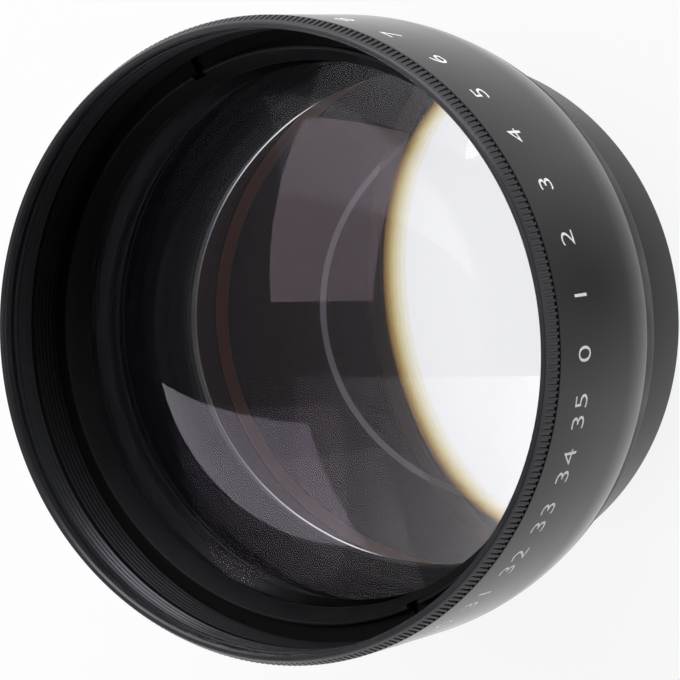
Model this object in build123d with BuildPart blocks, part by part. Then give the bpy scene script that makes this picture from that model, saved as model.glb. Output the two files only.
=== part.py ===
from build123d import *
import math
import os

# Telephoto conversion lens, in millimetres.
# The optical axis is Z, with the front of the lens up and the camera side down.
# The origin is on the axis, in the plane of the rear end that the lens stands on.

# Driving sizes, outside of the lens
barrel_radius = 37.2
front_ring_height = 2.0
band_length = 16.85  # straight part of the main barrel
shoulder_length = 12.1  # rounded part of the main barrel
shoulder_drop = 2.64  # how far the rounding draws in
shoulder_edge_round = 0.8
rear_step = 2.76  # from the shoulder's end in to the rear barrel
rear_wall = 1.8  # rear barrel around the mount ring
thread_length = 4.0  # male thread below the rear seat
mount_ring_step = 1.0  # from the mount ring's collar in to its male thread
edge_break = 0.3  # small chamfers on turned edges

# Driving sizes, screw threads drawn as rings
band_wall = 1.6  # main barrel's outside to the crests of the 72 x 0.75 mm female thread
filter_thread_length = 2.8
thread_pitch = 0.75
thread_depth = 0.38
thread_crest = 0.2
thread_relief = 0.5

# Driving sizes, knurl on the front ring
knurl_count = 324
knurl_depth = 0.29
knurl_land = 0.5  # share of the pitch that stays at full height
knurl_inset = 0.05  # crests inside the barrel's radius
knurl_bevel = 0.78  # how far the knurl leans in towards the front
knurl_length = 1.15
neck_depth = 0.4  # dark groove between the knurl and the band
lip_height = 0.45
lip_width = 0.5

# Driving sizes, fits
running = 0.05  # radial clearance of a screwed or sliding fit
cement_gap = 0.03
washer_thickness = 0.3

# Driving sizes, optics
crown_front_curve = 59.5
cement_curve = 174.0
flint_rear_curve = 1080.0
inner_front_curve = 66.5
inner_rear_curve = 107.0
rear_front_curve = 126.0
rear_back_curve = 45.6
front_rim_width = 1.05  # flat rim around the clear front glass
inner_rim_width = 0.8
rear_rim_width = 1.0
crown_edge = 1.6
flint_centre = 2.8
inner_edge = 1.9
inner_air_gap = 0.8
rear_centre = 2.2
front_glass_depth = 12.65  # front lip down to the flat rim of the front glass

# Driving sizes, rings and seats of the front glass
skirt_length = 3.6  # part of the front ring inside the barrel
skirt_wall = 0.5
ring_thread_step = 0.4  # how much wider the retaining ring's thread is than the filter thread
retaining_width = 3.0  # retaining ring's flange over the glass
retaining_flange = 1.65
retaining_height = 2.8
collar_step = 2.3
retaining_top_width = 0.4
retaining_lip = 0.3
spanner_slot_width = 2.4
spanner_slot_depth = 1.8
spanner_slot_angle = -64.4  # the slots lie across the lens at this angle from +X
seat_width = 1.8
seat_height = 1.2
spigot_shoulder = 0.6  # how much wider the rear barrel's spigot is than its tube
spigot_step = 0.3  # how far the spigot ends above the shoulder's rear face

# Driving sizes, inner glass, baffle and rear cell
inner_step = 0.4  # inner glass wider than the bore for the baffle
inner_lip_width = 1.4
inner_lip_height = 1.3
inner_ring_height = 1.9
light_groove_pitch = 1.0
light_groove_depth = 0.45
baffle_height = 3.92
baffle_wall = 1.0
baffle_steps = 4
stop_thickness = 0.25
stop_margin = 0.4  # stop opening wider than the clear rear glass
cell_flange_width = 4.0
cell_wall = 2.8
cell_lip_height = 1.2
cell_recess = 0.8  # rear end of the cell, inside the thread
lock_ring_height = 1.6
rear_ring_inset = 0.2
rear_ring_height = 1.7
mount_shoulder_width = 1.4
mount_ring_wall = 2.4
mount_engagement = 4.4  # part of the mount ring inside the rear barrel


def sag(curve, height):
    """Depth of a sphere of this radius at a height from the axis."""
    return curve - math.sqrt(curve**2 - height**2)


def surface(vertex, curve, height):
    """Z of a spherical surface: a positive curve falls towards the rim, a negative one rises."""
    return vertex - math.copysign(sag(abs(curve), height), curve)


def turn(points, mode=Mode.ADD):
    """Turn a closed outline of (radius, Z) points about the optical axis."""
    with BuildSketch(Plane.XZ) as outline:
        with BuildLine():
            Polyline(*points, close=True)
        make_face()
    revolve(outline.sketch, axis=Axis.Z, mode=mode)


def grooves(wall, depth, low, high, pitch=thread_pitch, crest=thread_crest):
    """Outline points of V-grooves in a wall of this radius; a negative depth cuts towards the axis."""
    points = []
    for index in range(int((high - low) / pitch)):
        start = low + index * pitch + crest / 2
        end = start + pitch - crest
        points += [(wall, start), (wall + depth, (start + end) / 2), (wall, end)]
    return points


def lens(front_vertex, front_curve, rear_vertex, rear_curve, clear, outer):
    """Turn a lens element: two spherical faces, flat rims outside them and a ground edge."""
    front_rim = surface(front_vertex, front_curve, clear)
    rear_rim = surface(rear_vertex, rear_curve, clear)
    with BuildSketch(Plane.XZ) as outline:
        with BuildLine():
            ThreePointArc(
                (0, front_vertex),
                (clear / 2, surface(front_vertex, front_curve, clear / 2)),
                (clear, front_rim),
            )
            Polyline((clear, front_rim), (outer, front_rim), (outer, rear_rim), (clear, rear_rim))
            ThreePointArc(
                (clear, rear_rim),
                (clear / 2, surface(rear_vertex, rear_curve, clear / 2)),
                (0, rear_vertex),
            )
            Line((0, rear_vertex), (0, front_vertex))
        make_face()
    revolve(outline.sketch, axis=Axis.Z)


def spanner_slots(inside, outside, top, depth):
    """Cut two opposite slots for a spanner's pins into the top of a ring."""
    turned = Location((0, 0, top - depth / 2), (0, 0, spanner_slot_angle))
    with Locations(turned):
        with Locations(((inside + outside) / 2, 0), (-(inside + outside) / 2, 0)):
            Box(outside - inside, spanner_slot_width, depth, mode=Mode.SUBTRACT)


# Radii of the front, from the barrel's outside inwards
filter_thread_radius = barrel_radius - band_wall
ring_thread_radius = filter_thread_radius + ring_thread_step
skirt_radius = ring_thread_radius + skirt_wall
skirt_bore = skirt_radius + running
neck_radius = barrel_radius - neck_depth
knurl_rear_radius = barrel_radius - knurl_inset
knurl_front_radius = knurl_rear_radius - knurl_bevel
lip_radius = filter_thread_radius + lip_width
front_glass_radius = ring_thread_radius - retaining_width
front_clear_radius = front_glass_radius - front_rim_width
front_bore = front_glass_radius + running
collar_radius = ring_thread_radius - collar_step
cone_radius = collar_radius - retaining_top_width
seat_radius = front_glass_radius - seat_width

# Radii of the rear, from the shoulder's end inwards
step_radius = barrel_radius - shoulder_drop
rear_barrel_radius = step_radius - rear_step
spigot_radius = rear_barrel_radius + spigot_shoulder
spigot_bore = spigot_radius + running
mount_ring_radius = rear_barrel_radius - rear_wall
mount_bore = mount_ring_radius + running
rear_thread_radius = mount_ring_radius - mount_ring_step
mount_ring_bore = rear_thread_radius - mount_ring_wall
baffle_radius = mount_ring_radius - mount_shoulder_width
baffle_bore = baffle_radius + running
inner_glass_radius = baffle_radius + inner_step
inner_clear_radius = inner_glass_radius - inner_rim_width
inner_bore = inner_glass_radius + running
inner_lip_radius = inner_glass_radius - inner_lip_width
cell_radius = baffle_radius - cell_flange_width
rear_glass_radius = cell_radius - cell_wall
rear_clear_radius = rear_glass_radius - rear_rim_width
cell_bore = rear_glass_radius + running
stop_radius = rear_clear_radius + stop_margin

# Heights of the rear ring, rear glass and cell
rear_ring_bottom = cell_recess + rear_ring_inset
rear_ring_top = rear_ring_bottom + rear_ring_height
rear_back_rim = rear_ring_top + washer_thickness
rear_back_vertex = rear_back_rim + sag(rear_back_curve, rear_clear_radius)
rear_front_vertex = rear_back_vertex + rear_centre
rear_front_rim = surface(rear_front_vertex, -rear_front_curve, rear_clear_radius)
cell_top = rear_front_rim + cell_lip_height
baffle_bottom = cell_top + stop_thickness
mount_ring_top = thread_length + mount_engagement
mount_shoulder = mount_ring_top + washer_thickness
lock_ring_bottom = mount_shoulder + running
flange_bottom = lock_ring_bottom + lock_ring_height

# Heights of the inner glass, on top of the baffle
baffle_top = baffle_bottom + baffle_height
inner_rear_rim = baffle_top + inner_lip_height
inner_rear_vertex = inner_rear_rim + sag(inner_rear_curve, inner_clear_radius)
inner_front_rim = inner_rear_rim + inner_edge
inner_front_vertex = inner_front_rim + sag(inner_front_curve, inner_clear_radius)
inner_ring_bottom = inner_front_rim + washer_thickness
inner_ring_top = inner_ring_bottom + inner_ring_height

# Heights of the front pair, on top of the air gap
flint_vertex = inner_front_vertex + inner_air_gap
flint_rim = surface(flint_vertex, -flint_rear_curve, front_clear_radius)
cement_vertex = flint_vertex + flint_centre
cement_rim = cement_vertex + sag(cement_curve, front_clear_radius)
crown_rim = cement_rim + crown_edge
crown_vertex = crown_rim + sag(crown_front_curve, front_clear_radius)
seat_top = flint_rim - washer_thickness
seat_bottom = seat_top - seat_height
spigot_top = seat_bottom - washer_thickness
retaining_bottom = crown_rim + washer_thickness
retaining_shelf = retaining_bottom + retaining_flange
retaining_top = retaining_bottom + retaining_height

# Heights of the outside, from the front lip down
front_lip = crown_rim + front_glass_depth
knurl_top = front_lip - lip_height
knurl_bottom = knurl_top - knurl_length
ring_joint = front_lip - front_ring_height
skirt_end = ring_joint - skirt_length
skirt_floor = skirt_end - washer_thickness
filter_thread_top = front_lip - edge_break
filter_thread_bottom = filter_thread_top - filter_thread_length
shoulder_start = ring_joint - band_length
shoulder_end = shoulder_start - shoulder_length
spigot_end = shoulder_end + spigot_step

os.makedirs("parts", exist_ok=True)


# Knurled front ring with the female filter thread
def knurl_outline(crest):
    """Closed outline of the knurl at one height: flat lands with a V-groove between neighbours."""
    corners = ((0, crest), (knurl_land, crest), ((1 + knurl_land) / 2, crest - knurl_depth))
    points = []
    for index in range(knurl_count):
        for share, radius in corners:
            angle = 2 * math.pi * (index + share) / knurl_count
            points.append((radius * math.cos(angle), radius * math.sin(angle)))
    return points


with BuildPart() as front_ring:
    for height, crest in ((knurl_bottom, knurl_rear_radius), (knurl_top, knurl_front_radius)):
        with BuildSketch(Plane.XY.offset(height)):
            with BuildLine():
                Polyline(*knurl_outline(crest), close=True)
            make_face()
    loft(ruled=True)
    turn([
        (filter_thread_radius, knurl_top),
        (lip_radius, knurl_top),
        (lip_radius, front_lip - edge_break / 2),
        (lip_radius - edge_break / 2, front_lip),
        (filter_thread_radius, front_lip),
    ])
    turn([
        (filter_thread_radius, skirt_end),
        (skirt_radius, skirt_end),
        (skirt_radius, ring_joint),
        (neck_radius, ring_joint),
        (neck_radius, knurl_bottom),
        (filter_thread_radius, knurl_bottom),
    ])
    turn(
        [
            (0, skirt_end),
            (ring_thread_radius, skirt_end),
            (ring_thread_radius, filter_thread_bottom),
            (filter_thread_radius, filter_thread_bottom),
            *grooves(filter_thread_radius, thread_depth, filter_thread_bottom, filter_thread_top),
            (filter_thread_radius, filter_thread_top),
            (filter_thread_radius + edge_break, front_lip),
            (0, front_lip),
        ],
        mode=Mode.SUBTRACT,
    )

# Thin slip washer under the front ring, which rises with it as it is unscrewed
with BuildPart() as front_ring_washer:
    turn([
        (ring_thread_radius, skirt_floor),
        (skirt_radius, skirt_floor),
        (skirt_radius, skirt_end),
        (ring_thread_radius, skirt_end),
    ])

# Threaded ring that holds the front glass, with a cone that opens forwards
with BuildPart() as retaining_ring:
    turn([
        (front_clear_radius, retaining_bottom),
        (ring_thread_radius - running, retaining_bottom),
        (ring_thread_radius - running, retaining_shelf),
        (collar_radius, retaining_shelf),
        (collar_radius, retaining_top),
        (cone_radius, retaining_top),
        (front_clear_radius, retaining_bottom + retaining_lip),
    ])
    spanner_slots(cone_radius - edge_break, ring_thread_radius, retaining_top, spanner_slot_depth)

# Soft ring between the retaining ring and the flat rim of the front glass
with BuildPart() as front_gasket:
    turn([
        (front_clear_radius, crown_rim),
        (front_glass_radius, crown_rim),
        (front_glass_radius, retaining_bottom),
        (front_clear_radius, retaining_bottom),
    ])

# Front cemented pair
with BuildPart() as crown_element:
    lens(
        crown_vertex,
        crown_front_curve,
        cement_vertex,
        -cement_curve,
        front_clear_radius,
        front_glass_radius,
    )

with BuildPart() as flint_element:
    lens(
        cement_vertex - cement_gap,
        -cement_curve,
        flint_vertex,
        -flint_rear_curve,
        front_clear_radius,
        front_glass_radius,
    )

# Washer that the pair sits on
with BuildPart() as doublet_seat_washer:
    turn([
        (front_clear_radius, seat_top),
        (front_glass_radius, seat_top),
        (front_glass_radius, flint_rim),
        (front_clear_radius, flint_rim),
    ])

# Main barrel: straight band, rounded shoulder, seat for the pair and socket for the rear barrel
with BuildPart() as main_barrel:
    shoulder_curve = (shoulder_length**2 + shoulder_drop**2) / (2 * shoulder_drop)
    half_drop = sag(shoulder_curve, shoulder_length / 2)
    with BuildSketch(Plane.XZ):
        with BuildLine():
            Polyline(
                (step_radius, shoulder_end),
                (spigot_bore, shoulder_end),
                (spigot_bore, seat_bottom),
                (seat_radius, seat_bottom),
                (seat_radius, seat_top),
                (front_bore, seat_top),
                (front_bore, retaining_bottom - running),
                (ring_thread_radius, retaining_bottom - running),
                *grooves(ring_thread_radius, thread_depth, retaining_shelf, skirt_floor - thread_relief),
                (ring_thread_radius, skirt_floor),
                (skirt_bore, skirt_floor),
                (skirt_bore, ring_joint),
                (barrel_radius - edge_break / 2, ring_joint),
                (barrel_radius, ring_joint - edge_break / 2),
                (barrel_radius, shoulder_start),
            )
            ThreePointArc(
                (barrel_radius, shoulder_start),
                (barrel_radius - half_drop, shoulder_start - shoulder_length / 2),
                (step_radius, shoulder_end),
            )
        make_face()
    revolve(axis=Axis.Z)
    rear_edges = main_barrel.edges().filter_by(GeomType.CIRCLE).group_by(Axis.Z)[0]
    fillet(rear_edges.sort_by(SortBy.RADIUS)[-1], radius=shoulder_edge_round)

# Washer whose thickness sets the distance between the front and the rear glass
with BuildPart() as focus_shim:
    turn([
        (seat_radius, spigot_top),
        (spigot_radius, spigot_top),
        (spigot_radius, seat_bottom),
        (seat_radius, seat_bottom),
    ])

# Rear barrel: spigot in the main barrel, seat of the inner glass, and the long bore for the cell
with BuildPart() as rear_barrel:
    turn([
        (rear_barrel_radius, thread_length + edge_break),
        (rear_barrel_radius, spigot_end),
        (spigot_radius, spigot_end),
        (spigot_radius, spigot_top - edge_break),
        (spigot_radius - edge_break, spigot_top),
        (inner_bore, spigot_top),
        *reversed(grooves(
            inner_bore,
            light_groove_depth,
            inner_ring_top,
            spigot_top - thread_relief,
            light_groove_pitch,
        )),
        (inner_bore, inner_rear_rim),
        (inner_lip_radius, inner_rear_rim),
        (inner_lip_radius, baffle_top),
        (baffle_bore, baffle_top),
        (baffle_bore, mount_shoulder),
        (mount_bore, mount_shoulder),
        (mount_bore, thread_length),
        (rear_barrel_radius - edge_break, thread_length),
    ])

# Inner positive element, its soft ring and its threaded ring
with BuildPart() as inner_element:
    lens(
        inner_front_vertex,
        inner_front_curve,
        inner_rear_vertex,
        inner_rear_curve,
        inner_clear_radius,
        inner_glass_radius,
    )

with BuildPart() as inner_gasket:
    turn([
        (inner_clear_radius, inner_front_rim),
        (inner_glass_radius, inner_front_rim),
        (inner_glass_radius, inner_ring_bottom),
        (inner_clear_radius, inner_ring_bottom),
    ])

with BuildPart() as inner_retaining_ring:
    turn([
        (inner_clear_radius, inner_ring_bottom),
        (inner_glass_radius, inner_ring_bottom),
        (inner_glass_radius, inner_ring_top),
        (inner_clear_radius + edge_break, inner_ring_top),
        (inner_clear_radius, inner_ring_top - edge_break),
    ])
    spanner_slots(inner_clear_radius - edge_break, inner_bore, inner_ring_top, inner_ring_height / 2)

# Stepped matt-black ring that traps stray light in front of the rear cell
with BuildPart() as light_baffle:
    step_height = baffle_height / baffle_steps
    step_width = (baffle_radius - baffle_wall - stop_radius - baffle_wall) / baffle_steps
    steps = []
    for index in range(baffle_steps):
        inside = baffle_radius - baffle_wall - index * step_width
        top = baffle_top - index * step_height
        steps += [(inside, top), (inside - step_width / 2, top - step_height)]
    turn([(baffle_radius, baffle_bottom), (baffle_radius, baffle_top), *steps])

# Thin stop plate in front of the rear cell
with BuildPart() as aperture_stop:
    turn([
        (stop_radius, cell_top),
        (baffle_radius, cell_top),
        (baffle_radius, baffle_bottom),
        (stop_radius, baffle_bottom),
    ])

# Cell of the rear glass: a flange in the rear barrel and a tube down into the thread
with BuildPart() as rear_cell:
    turn([
        (rear_clear_radius, cell_top),
        (baffle_radius, cell_top),
        (baffle_radius, flange_bottom),
        (cell_radius, flange_bottom),
        (cell_radius, cell_recess + edge_break),
        (cell_radius - edge_break, cell_recess),
        (cell_bore, cell_recess),
        (cell_bore, rear_front_rim),
        (rear_clear_radius, rear_front_rim),
    ])

# Threaded ring that locks the cell in the rear barrel
with BuildPart() as cell_lock_ring:
    turn([
        (cell_radius + running, lock_ring_bottom),
        (baffle_radius, lock_ring_bottom),
        (baffle_radius, flange_bottom),
        (cell_radius + running, flange_bottom),
    ])
    spanner_slots(
        (cell_radius + baffle_radius) / 2,
        baffle_bore,
        lock_ring_bottom + lock_ring_height / 2,
        lock_ring_height / 2,
    )

# Rear negative element, its soft ring and its threaded ring
with BuildPart() as rear_element:
    lens(
        rear_front_vertex,
        -rear_front_curve,
        rear_back_vertex,
        rear_back_curve,
        rear_clear_radius,
        rear_glass_radius,
    )

with BuildPart() as rear_gasket:
    turn([
        (rear_clear_radius, rear_ring_top),
        (rear_glass_radius, rear_ring_top),
        (rear_glass_radius, rear_back_rim),
        (rear_clear_radius, rear_back_rim),
    ])

with BuildPart() as rear_retaining_ring:
    turn([
        (rear_clear_radius + edge_break, rear_ring_bottom),
        (rear_glass_radius, rear_ring_bottom),
        (rear_glass_radius, rear_ring_top),
        (rear_clear_radius, rear_ring_top),
        (rear_clear_radius, rear_ring_bottom + edge_break),
    ])
    spanner_slots(
        rear_clear_radius - edge_break,
        cell_bore,
        rear_ring_bottom + rear_ring_height / 2,
        rear_ring_height / 2,
    )

# Slip washer above the mount ring, which comes down with it as it is unscrewed
with BuildPart() as mount_ring_washer:
    turn([
        (baffle_bore, mount_ring_top),
        (mount_ring_radius, mount_ring_top),
        (mount_ring_radius, mount_shoulder),
        (baffle_bore, mount_shoulder),
    ])

# Mount ring with the male thread that screws into the camera lens
with BuildPart() as mount_ring:
    turn([
        (mount_ring_bore, edge_break),
        (mount_ring_bore + edge_break, 0),
        (rear_thread_radius - edge_break, 0),
        (rear_thread_radius, edge_break),
        *grooves(rear_thread_radius, -thread_depth, edge_break, thread_length - thread_relief),
        (rear_thread_radius, thread_length),
        (mount_ring_radius, thread_length),
        (mount_ring_radius, mount_ring_top),
        (mount_ring_bore, mount_ring_top),
    ])

pieces = {
    "front_ring": front_ring,
    "front_ring_washer": front_ring_washer,
    "retaining_ring": retaining_ring,
    "front_gasket": front_gasket,
    "crown_element": crown_element,
    "flint_element": flint_element,
    "doublet_seat_washer": doublet_seat_washer,
    "main_barrel": main_barrel,
    "focus_shim": focus_shim,
    "rear_barrel": rear_barrel,
    "inner_element": inner_element,
    "inner_gasket": inner_gasket,
    "inner_retaining_ring": inner_retaining_ring,
    "light_baffle": light_baffle,
    "aperture_stop": aperture_stop,
    "rear_cell": rear_cell,
    "cell_lock_ring": cell_lock_ring,
    "rear_element": rear_element,
    "rear_gasket": rear_gasket,
    "rear_retaining_ring": rear_retaining_ring,
    "mount_ring_washer": mount_ring_washer,
    "mount_ring": mount_ring,
}
for name, piece in pieces.items():
    piece.part.label = name
    export_step(piece.part, f"parts/{name}.step")
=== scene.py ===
# %% [markdown]
# # Telephoto conversion lens
# A short, fat lens that screws onto the front of a camera's own lens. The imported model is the
# frame: it says where each piece is, and this script gives each piece its finish. Blender works in
# metres; sizes here are written in millimetres, as on a workshop drawing, and turned by one factor.

# %% Load the frame
import math

import bpy
from mathutils import Matrix, Vector


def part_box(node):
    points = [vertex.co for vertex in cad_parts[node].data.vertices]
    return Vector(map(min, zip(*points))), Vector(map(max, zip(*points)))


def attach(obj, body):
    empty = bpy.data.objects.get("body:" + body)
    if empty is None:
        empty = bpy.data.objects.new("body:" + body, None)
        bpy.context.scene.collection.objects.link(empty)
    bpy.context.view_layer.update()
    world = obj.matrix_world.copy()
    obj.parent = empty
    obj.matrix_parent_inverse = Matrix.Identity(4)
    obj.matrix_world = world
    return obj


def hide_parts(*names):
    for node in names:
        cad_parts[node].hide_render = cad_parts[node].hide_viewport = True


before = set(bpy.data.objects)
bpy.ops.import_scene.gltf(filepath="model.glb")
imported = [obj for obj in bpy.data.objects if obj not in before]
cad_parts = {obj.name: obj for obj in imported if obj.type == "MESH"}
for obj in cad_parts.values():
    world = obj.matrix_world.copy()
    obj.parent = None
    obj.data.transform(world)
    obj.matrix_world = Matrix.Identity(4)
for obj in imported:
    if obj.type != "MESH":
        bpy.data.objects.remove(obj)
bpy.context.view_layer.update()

MM = 0.001
print("pieces in the frame:", len(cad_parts))

# %% [markdown]
# ## Sizes
# A lens is turned on a lathe, so every size is a radius or a height along the axis. Heights come
# from the frame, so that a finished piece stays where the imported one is.

# %% Heights and radii read from the frame
def bottom_of(node):
    """Lowest height of a node, in millimetres."""
    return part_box(node)[0].z / MM


def top_of(node):
    """Highest height of a node, in millimetres."""
    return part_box(node)[1].z / MM


def radius_of(node):
    """Largest radius of a node, in millimetres."""
    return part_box(node)[1].x / MM


def bore_of(node):
    """Smallest radius of a node that is a ring, in millimetres."""
    return min(math.hypot(v.co.x, v.co.y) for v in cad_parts[node].data.vertices) / MM


for node in ("front_ring", "main_barrel", "rear_barrel", "mount_ring"):
    print(node, "from", round(bottom_of(node), 2), "to", round(top_of(node), 2),
          "radius", round(bore_of(node), 2), "to", round(radius_of(node), 2))

# %% [markdown]
# ## Camera
# The lens stands on its rear end, and the camera looks down into the front glass from the right,
# 31 degrees off the optical axis. A long lens from 40 cm away keeps the circles almost true
# ellipses. The camera has no roll towards the frame's +Y, so its three directions are worked out.

# %% Place the camera
CAMERA_AIM = Vector((9.42, 0.7, 45.77)) * MM
CAMERA_DISTANCE = 403.7 * MM
CAMERA_AZIMUTH = math.radians(10.19)
CAMERA_ELEVATION = math.radians(59.05)
CAMERA_LENS = 190.0
SENSOR = 36.0
PICTURE_UP = Vector((0, 1, 0))
CLIP_NEAR = 1 * MM
CLIP_FAR = 20

camera_data = bpy.data.cameras.new("camera")
camera = bpy.data.objects.new("camera", camera_data)
bpy.context.scene.collection.objects.link(camera)
backward = Vector((
    math.cos(CAMERA_AZIMUTH) * math.cos(CAMERA_ELEVATION),
    math.sin(CAMERA_AZIMUTH) * math.cos(CAMERA_ELEVATION),
    math.sin(CAMERA_ELEVATION),
))
rightward = PICTURE_UP.cross(backward).normalized()
upward = backward.cross(rightward)
camera.location = CAMERA_AIM + backward * CAMERA_DISTANCE
camera.rotation_mode = "QUATERNION"
camera.rotation_quaternion = Matrix((rightward, upward, backward)).transposed().to_quaternion()
camera_data.sensor_fit = "HORIZONTAL"
camera_data.sensor_width = SENSOR
camera_data.lens = CAMERA_LENS
camera_data.clip_start = CLIP_NEAR
camera_data.clip_end = CLIP_FAR
bpy.context.scene.camera = camera
bpy.context.scene.view_settings.view_transform = "Standard"
print("camera at", [round(c / MM, 1) for c in camera.location])

# %% [markdown]
# ## Colours and nodes
# Four helpers serve every material. One turns a colour as a screen shows it into the linear values
# that a shader adds up. One adds a node with its settings and links, one starts a material, and
# one mixes two colours.

# %% Colour and node helpers
def linear(hex_colour):
    """An sRGB colour such as #202124 as linear RGBA."""
    shares = [int(hex_colour[at:at + 2], 16) / 255 for at in (1, 3, 5)]
    lit = [s / 12.92 if s <= 0.04045 else ((s + 0.055) / 1.055) ** 2.4 for s in shares]
    return (*lit, 1.0)


def add_node(tree, kind, inputs=None, **settings):
    """Adds a node: settings are its own options, inputs are values or other nodes' outputs."""
    made = tree.nodes.new(kind)
    for name, value in settings.items():
        setattr(made, name, value)
    for socket, value in (inputs or {}).items():
        if isinstance(value, bpy.types.NodeSocket):
            tree.links.new(value, made.inputs[socket])
        else:
            made.inputs[socket].default_value = value
    return made


def new_material(name):
    """An empty material, its node tree and its output node."""
    material = bpy.data.materials.new(name)
    material.use_nodes = True
    tree = material.node_tree
    tree.nodes.clear()
    return material, tree, tree.nodes.new("ShaderNodeOutputMaterial")


def colour_between(tree, share, one, other):
    """Mixes two sRGB colours by a node's output; a share of 0 gives the first."""
    mixed = add_node(tree, "ShaderNodeMix",
                     {"Factor": share, "A": linear(one), "B": linear(other)}, data_type="RGBA")
    return mixed.outputs["Result"]


print("a screen's middle grey is", round(linear("#808080")[0], 3), "of white light")

# %% [markdown]
# ## Floor
# The photograph has a pure white ground, also where the eye looks right through the glass and where
# dark metal mirrors it. So the floor is matt white card that shows plain white to the camera, in
# reflections and through glass, mixed for the camera with its own lit face, so a shadow stays. The
# band's darkest stretch mirrors one place beside the lens: there the mirrored card glows less, a
# shadow painted on the floor that only reflections show.

# %% Build the floor
FLOOR_SIDE = 3.0
CARD_LIT_SHARE = 0.12
# A round patch beside the lens glows less in reflections: a painted shadow on the floor.
PAINTED_SHADE_AT = Vector((57, 13, 0)) * MM
PAINTED_SHADE_REACH = 30 * MM
GLOW_IN_PAINTED_SHADE = 0.36
CARD_GLOW = 0.97

bpy.ops.object.select_all(action="DESELECT")
bpy.ops.mesh.primitive_plane_add(size=FLOOR_SIDE, location=(0, 0, 0))
floor = bpy.context.object
floor.name = "floor"
white_card, tree, output = new_material("white_card")
card = add_node(tree, "ShaderNodeBsdfDiffuse", {"Color": linear("#f4f4f4")})
path = add_node(tree, "ShaderNodeLightPath")
place = add_node(tree, "ShaderNodeTexCoord")
from_painted_shade = add_node(tree, "ShaderNodeVectorMath",
                      {0: place.outputs["Object"], 1: PAINTED_SHADE_AT}, operation="DISTANCE")
card_glow_with_painted_shade = add_node(tree, "ShaderNodeMapRange",
                     {"Value": from_painted_shade.outputs["Value"],
                      "From Min": 0.0, "From Max": PAINTED_SHADE_REACH,
                      "To Min": GLOW_IN_PAINTED_SHADE, "To Max": CARD_GLOW})
strength = add_node(tree, "ShaderNodeMix",
                    {"Factor": path.outputs["Is Glossy Ray"],
                     "A": 1.0, "B": card_glow_with_painted_shade.outputs[0]})
glow = add_node(tree, "ShaderNodeEmission",
                {"Color": (1, 1, 1, 1), "Strength": strength.outputs[0]})
seen = add_node(tree, "ShaderNodeMath",
                {0: path.outputs["Is Camera Ray"], 1: 1 - CARD_LIT_SHARE}, operation="MULTIPLY")
mirrored = add_node(tree, "ShaderNodeMath",
                    {0: seen.outputs[0], 1: path.outputs["Is Glossy Ray"]}, operation="MAXIMUM")
through = add_node(tree, "ShaderNodeMath",
                   {0: mirrored.outputs[0], 1: path.outputs["Is Transmission Ray"]},
                   operation="MAXIMUM")
mix = add_node(tree, "ShaderNodeMixShader",
               {0: through.outputs[0], 1: card.outputs[0], 2: glow.outputs[0]})
tree.links.new(mix.outputs[0], output.inputs[0])
floor.data.materials.append(white_card)
print("floor", FLOOR_SIDE, "m wide, its dim patch", round(PAINTED_SHADE_REACH / MM), "mm in radius")

# %% [markdown]
# ## Room
# Above the floor, the room is pale at the horizon, where a backdrop curves up, and dim overhead.
# Metal that leans outwards mirrors the horizon, and the front glass mirrors the dim part.

# %% Light the room
HORIZON_LIGHT = 0.9
OVERHEAD_LIGHT = 0.1
OVERHEAD_FROM = 0.28

world = bpy.data.worlds.new("studio")
bpy.context.scene.world = world
world.use_nodes = True
tree = world.node_tree
tree.nodes.clear()
direction = add_node(tree, "ShaderNodeTexCoord")
height = add_node(tree, "ShaderNodeSeparateXYZ", {0: direction.outputs["Generated"]})
dimming = add_node(tree, "ShaderNodeMapRange",
                   {"Value": height.outputs["Z"],
                    "From Min": 0.0, "From Max": OVERHEAD_FROM,
                    "To Min": HORIZON_LIGHT, "To Max": OVERHEAD_LIGHT})
path = add_node(tree, "ShaderNodeLightPath")
straight = add_node(tree, "ShaderNodeMath",
                    {0: path.outputs["Is Camera Ray"], 1: path.outputs["Is Transmission Ray"]},
                    operation="MAXIMUM")
strength = add_node(tree, "ShaderNodeMath",
                    {0: dimming.outputs[0], 1: straight.outputs[0]}, operation="MAXIMUM")
sky = add_node(tree, "ShaderNodeBackground",
               {"Color": (1, 1, 1, 1), "Strength": strength.outputs[0]})
add_node(tree, "ShaderNodeOutputWorld", {"Surface": sky.outputs[0]})
print("light from", HORIZON_LIGHT, "at the horizon to", OVERHEAD_LIGHT, "overhead")

# %% [markdown]
# ## Softboxes
# Two softboxes on the left are the two violet-grey patches in the front glass. A mirror ball of
# the glass's own curve says in which directions they stand. Three more stand where the glass
# doesn't show them: one lights the thread inside the front ring at the lower left, one the knurl
# on the right, and a low, long one the knurl's bevel at the top.

# %% Hang the softboxes
LAMP_DISTANCE = 0.7
LAMP_TARGET = Vector((0, 0, 0.04))


def softbox(name, towards, long_axis, length, width, radiance, cloth=(1, 1, 1)):
    """A rectangular lamp that faces the lens; radiance is its cloth's brightness, white being 1."""
    data = bpy.data.lights.new(name, "AREA")
    data.shape = "RECTANGLE"
    data.size = length
    data.size_y = width
    data.energy = radiance * math.pi * length * width
    data.color = cloth
    lamp = bpy.data.objects.new(name, data)
    bpy.context.scene.collection.objects.link(lamp)
    away = Vector(towards).normalized()
    across = Vector(long_axis)
    across = (across - away * across.dot(away)).normalized()
    lamp.location = LAMP_TARGET + away * LAMP_DISTANCE
    lamp.rotation_mode = "QUATERNION"
    turn = Matrix((across, away.cross(across), away)).transposed()
    lamp.rotation_quaternion = turn.to_quaternion()
    lamp.visible_camera = False
    print(name, "gives", round(data.energy, 2), "W")
    return lamp


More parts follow.
